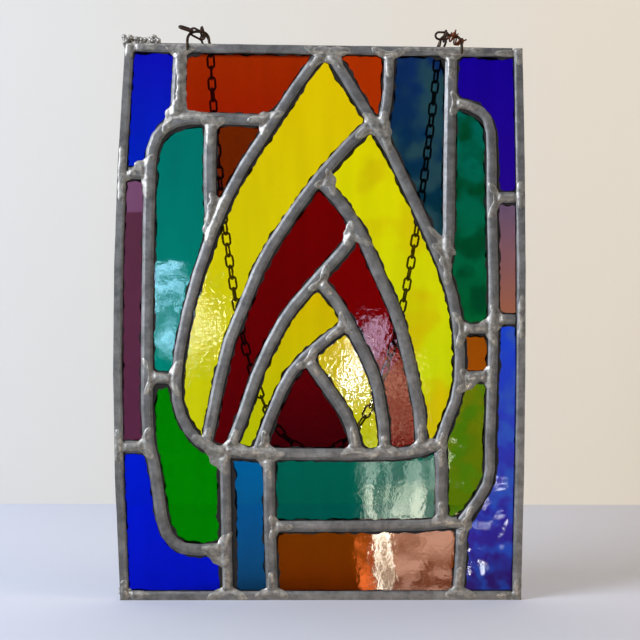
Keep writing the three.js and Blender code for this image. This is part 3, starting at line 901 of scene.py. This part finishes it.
route = chainRoute()
line = smoothLine(route, chainShape["smoothness"])
lineLength = sum((b - a).length for a, b in zip(line, line[1:]))
overhang = chainShape["wire"] + chainShape["slack"] + eyeWire / 2
begin = (route[0] - route[1]).length - overhang
run = lineLength - 2 * begin
linkCount = 2 * round((run / chainShape["pitch"] - 1) / 2) + 1
contacts = spacedPoints(line, begin, lineLength - begin, linkCount)
chainMesh = bmesh.new()
strungLinks(chainMesh, contacts)
tail = [topPoint + Vector(spot) * mm for spot in chainShape["tail"]]
strungLinks(chainMesh, tail, chainShape["tailTurn"])
ringLink = linkMesh(chainShape["ringPitch"] - chainShape["wire"])
ringPlace = Matrix.Translation(topPoint + Vector(chainShape["ringPlace"]) * mm)
ringLink.transform(ringPlace @ Matrix.Rotation(math.radians(chainShape["ringTurn"]), 4, "X"))
chainMesh.from_mesh(ringLink)
bpy.data.meshes.remove(ringLink)
newPiece("chain_links", chainMesh, chainMaterial, ["chain"], sharp=80)
looseLinks = 3  # two in the tail, and the ring
print("chain strung, links:", linkCount + looseLinks)


# Eyes: bent wire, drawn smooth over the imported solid, and copper wire wound round the right one

def smoothWire(name, node, material):
    piece = newPiece(name, mergedCopy(node), material, [node], sharp=180)
    rounder = piece.modifiers.new("round", "SUBSURF")
    rounder.levels = 2
    rounder.render_levels = 2


smoothWire("eye_wire_left", "eye_left", wireMaterial)
smoothWire("eye_wire_right", "eye_right", wireMaterial)
smoothWire("copper_winding", "tie_wire", copperMaterial)


def bendWire(shape, points, radius, sides):
    # A circle pushed out along the points, turned at each, and closed at both ends
    headings = [(b - a).normalized() for a, b in zip(points, points[1:])]
    headings.append(headings[-1])
    upright = Vector((0, 0, 1)).rotation_difference(headings[0]).to_matrix().to_4x4()
    made = bmesh.ops.create_circle(shape, segments=sides, radius=radius,
                                   matrix=Matrix.Translation(points[0]) @ upright)
    edges = list({edge for vert in made["verts"] for edge in vert.link_edges})
    first = edges
    for i in range(len(points) - 1):
        grown = bmesh.ops.extrude_edge_only(shape, edges=edges)["geom"]
        ring = [item for item in grown if isinstance(item, bmesh.types.BMVert)]
        edges = [item for item in grown if isinstance(item, bmesh.types.BMEdge)
                 and all(vert in ring for vert in item.verts)]
        bmesh.ops.translate(shape, verts=ring, vec=points[i + 1] - points[i])
        bmesh.ops.rotate(shape, verts=ring, cent=points[i + 1],
                         matrix=headings[i].rotation_difference(headings[i + 1]).to_matrix())
    bmesh.ops.contextual_create(shape, geom=first)
    bmesh.ops.contextual_create(shape, geom=edges)


copperShape = {
    "wire": 0.42 * mm,  # half its thickness
    "sides": 7,
    "around": 16,  # points in a turn
    "radius": 2.5 * mm,
    "swell": (0.6, 0.4),  # of the radius: at the ends, and what the middle adds
    "from": (63.6, -1.2, 5.9),  # millimetres, from the top
    "to": (71.0, -1.2, 2.6),
    "upperEnd": ((1.0, -1.2, -2.6), (2.4, -1.6, 0.4), (3.6, -1.0, 3.2)),  # millimetres, from "from"
    "lowerEnd": ((-3.0, -1.4, -1.6), (-0.6, -1.7, 0.4), (1.6, -1.0, 1.6)),  # millimetres, from "to"
}


def woundStrand(shape, start, end, phase, turns, flat):
    # Wire wound round a line, in turns that are flatter than round
    atEnds, added = copperShape["swell"]
    along = (end - start).normalized()
    across = Vector((0, 1, 0))
    wide = along.cross(across)
    count = round(turns * copperShape["around"])
    points = []
    for i in range(count + 1):
        t = i / count
        angle = phase + 2 * math.pi * turns * t
        swell = copperShape["radius"] * (atEnds + added * math.sin(math.pi * t))
        outward = wide * math.cos(angle) + across * math.sin(angle) * flat
        points.append(start + (end - start) * t + outward * swell)
    bendWire(shape, points, copperShape["wire"], copperShape["sides"])


strands = bmesh.new()
woundFrom = topPoint + Vector(copperShape["from"]) * mm
woundTo = topPoint + Vector(copperShape["to"]) * mm
woundStrand(strands, woundFrom, woundTo, phase=0.4, turns=2.2, flat=0.6)
woundStrand(strands, woundTo, woundFrom, phase=1.9, turns=1.6, flat=0.75)
for start, spots in ((woundFrom, copperShape["upperEnd"]), (woundTo, copperShape["lowerEnd"])):
    points = [start + Vector(spot) * mm for spot in spots]
    bendWire(strands, points, copperShape["wire"], copperShape["sides"])
bmesh.ops.recalc_face_normals(strands, faces=strands.faces)
newPiece("copper_strands", strands, copperMaterial, sharp=80)
print("eyes bent")


# Stage: pale floor and backdrop

stageFinish = {
    "floor": ("#E0E6F6", "#D8D8E0"),  # to the left and to the right; painted light: lighter and bluer on the left, where the window light falls, greyer and darker to the right
    # Painted light on the wall: cool on the left, and warmer on the right, where the lamp light falls
    "wall": ("#DFDDD5", "#F0E8D6"),
    # The room's colour is painted shade: a black sheet that the glass and leads mirror instead of the unlit
    # room
    "room": ("#050505", "#050505"),
    "fade": 0.25,  # how far from the middle the two colours are reached
    "napSize": 2 * mm,
    "napHeight": 0.1 * mm,
}
stageShape = {
    "width": 6,
    "wallHeight": 2.4,
    "wallPlace": 0.4255,
    "floorFront": -0.97,
    "roomWidth": 3,
    "roomPlace": -1.3,
    "roomRise": 0.2,  # of its middle over the floor
    "glimpsePlace": -0.492,
}


def paintedBoard(name, left, right, oneSided=False):
    # Emulsion paint on board: matt, with a faint roller texture; its colour runs from the left one to the
    # right one, painted light of the lamps' fall-off across the stage; a one-sided board can't be seen from
    # behind
    material = newMaterial(name)
    place = addNode(material, "ShaderNodeTexCoord")
    nap = addNode(material, "ShaderNodeTexNoise", {"Scale": 1 / stageFinish["napSize"], "Detail": 3},
                  {"Vector": place.outputs["Object"]})
    skin = addNode(material, "ShaderNodeBump", {"Strength": 0.4, "Distance": stageFinish["napHeight"]},
                   {"Height": nap.outputs[0]})
    parts = addNode(material, "ShaderNodeSeparateXYZ", links={0: place.outputs["Object"]})
    across = addNode(material, "ShaderNodeMapRange",
                     {"From Min": -stageFinish["fade"], "From Max": stageFinish["fade"]},
                     {"Value": parts.outputs["X"]})
    colour = addNode(material, "ShaderNodeMix", {"data_type": "RGBA", 6: linear(left), 7: linear(right)},
                     {0: across.outputs[0]})
    shader = addNode(material, "ShaderNodeBsdfPrincipled", {"Roughness": 0.85},
                     {"Base Color": colour.outputs[2], "Normal": skin.outputs[0]})
    if oneSided:
        side = addNode(material, "ShaderNodeNewGeometry")
        clear = addNode(material, "ShaderNodeBsdfTransparent")
        shader = addNode(material, "ShaderNodeMixShader",
                         links={0: side.outputs["Backfacing"], 1: shader.outputs[0], 2: clear.outputs[0]})
    return finishMaterial(material, shader)


def stageSheet(name, place, turn, size, material):
    shape = bmesh.new()
    bmesh.ops.create_grid(shape, x_segments=1, y_segments=1, size=0.5,
                          matrix=Matrix.Translation(place) @ turn @ Matrix.Diagonal((size[0], size[1], 1, 1)))
    mesh = bpy.data.meshes.new(name)
    shape.to_mesh(mesh)
    shape.free()
    sheet = bpy.data.objects.new(name, mesh)
    bpy.context.scene.collection.objects.link(sheet)
    mesh.materials.append(material)
    return sheet


def onlyMirrored(sheet):
    # Nothing but the gloss of the panes and leads shows it
    sheet.visible_camera = False
    sheet.visible_diffuse = False
    sheet.visible_shadow = False
    sheet.visible_transmission = False


floorMiddle = (0, (stageShape["floorFront"] + stageShape["wallPlace"]) / 2, panelBottom)
floorSize = (stageShape["width"], stageShape["wallPlace"] - stageShape["floorFront"])
floor = stageSheet("floor", floorMiddle, Matrix.Identity(4), floorSize,
                   paintedBoard("painted floor", *stageFinish["floor"]))
floor.visible_glossy = False  # the room's dark side shows in the glass instead, as in the photograph
standing = Matrix.Rotation(math.radians(90), 4, "X")
stageSheet("wall", (0, stageShape["wallPlace"], panelBottom + stageShape["wallHeight"] / 2), standing,
           (stageShape["width"], stageShape["wallHeight"]),
           paintedBoard("painted wall", *stageFinish["wall"], True))
# A black sheet before the panel, seen only in the gloss of the glass and leads: painted shade for the unlit
# room
roomShade = stageSheet("unlit room", (0, stageShape["roomPlace"], panelBottom + stageShape["roomRise"]),
                       standing, (stageShape["roomWidth"], stageShape["wallHeight"]),
                       paintedBoard("unlit room", *stageFinish["room"]))
onlyMirrored(roomShade)


# Light

lights = {
    # place, side, power, colour, and whether the panes and leads mirror it
    "window light": ((-1.2, -0.75, 0.45), 0.8, 23, "#E2ECFF", True),
    "lamp light": ((1.1, -0.5, 0.3), 0.5, 4.4, "#FFE0B8", False),
}
lightTarget = (0, 0, -0.15)
roomLight = {"colour": "#F4F2EE", "strength": 0.42}


def areaLight(name, place, side, power, colour, mirrored):
    data = bpy.data.lights.new(name, "AREA")
    data.shape = "RECTANGLE"
    data.size = side
    data.size_y = side
    data.energy = power
    data.color = linear(colour)[:3]
    lamp = bpy.data.objects.new(name, data)
    bpy.context.scene.collection.objects.link(lamp)
    lamp.location = place
    lamp.rotation_euler = (Vector(lightTarget) - Vector(place)).to_track_quat("-Z", "Y").to_euler()
    lamp.visible_glossy = mirrored


for name, facts in lights.items():
    areaLight(name, *facts)
glimpseFinish = {"cloudEdge": (0.42, 0.6), "dim": 0.1}  # where a cloud is dark and bright, and how dark


def glimpse(name, x, z, width, height, strength, colour, streak, cloudSize):
    # A bright thing in the room, in front of the panel, that shows only where the panes mirror it
    material = newMaterial(name)
    place = addNode(material, "ShaderNodeTexCoord")
    stretch = addNode(material, "ShaderNodeMapping", {"Scale": (1, 1, streak)}, {0: place.outputs["Object"]})
    cloud = addNode(material, "ShaderNodeTexNoise", {"Scale": 1 / (cloudSize * mm), "Detail": 3},
                    {"Vector": stretch.outputs[0]})
    dark, bright = glimpseFinish["cloudEdge"]
    dimmest = glimpseFinish["dim"] * strength
    level = addNode(material, "ShaderNodeMapRange",
                    {"From Min": dark, "From Max": bright, "To Min": dimmest, "To Max": strength},
                    {"Value": cloud.outputs[0]})
    glow = addNode(material, "ShaderNodeEmission", {"Color": linear(colour)}, {"Strength": level.outputs[0]})
    sheet = stageSheet(name, (x * mm, stageShape["glimpsePlace"], z * mm), standing,
                       (width * mm, height * mm), finishMaterial(material, glow))
    onlyMirrored(sheet)


glimpses = {
    # x, z, width, height, strength, colour, how much shorter its cloud is upwards, cloud size
    "curtain head": (86, -267, 68, 24, 9, "#F4FFF0", 0.06, 7),
    "curtain": (86, -293, 68, 30, 16, "#FFFFE6", 0.06, 7),
    "curtain fold": (72, -342, 14, 62, 46, "#FFF4DC", 0.3, 14),
    "curtain fringe": (57, -342, 14, 62, 24, "#FF7A3C", 0.5, 14),
    "curtain shade": (107, -342, 54, 62, 9, "#FFCDB8", 1.5, 30),
    "far window": (47, -182, 15, 40, 90, "#FFFFFF", 1.0, 3),
    "far window edge": (66, -158, 18, 48, 14, "#E4DCFF", 1.0, 4),
    "far wall": (86, -206, 30, 76, 6.0, "#FFD0A8", 0.6, 10),
    "sky": (-114, -129, 26, 84, 19, "#A8DCFF", 0.8, 14),
    "sky edge": (-82, -142, 10, 24, 60, "#FFFFE0", 1.0, 3),
    "bright gap": (170, -277, 10, 9, 20, "#FFFFFF", 1.0, 14),
    "bright gap below": (157, -300, 10, 9, 20, "#FFFFFF", 1.0, 14),
    "bright gap right": (179, -320, 12, 8, 20, "#FFFFFF", 1.0, 14),
    "bright gap at the foot": (147, -348, 10, 9, 20, "#FFFFFF", 1.0, 14),
    "ceiling": (0, 520, 1200, 300, 2.5, "#F2F4FF", 1.0, 300),
    "olive gap": (128, -262, 7, 26, 10, "#FFFFE8", 1.0, 14),
}
for name, facts in glimpses.items():
    glimpse(name, *facts)
world = bpy.data.worlds.new("room")
world.use_nodes = True
world.node_tree.nodes.clear()
dimLight = addNode(world, "ShaderNodeBackground",
                   {"Color": linear(roomLight["colour"]), "Strength": roomLight["strength"]})
addNode(world, "ShaderNodeOutputWorld", links={"Surface": dimLight.outputs[0]})
bpy.context.scene.world = world
bpy.context.scene.view_settings.view_transform = "Standard"
print("stage lit")
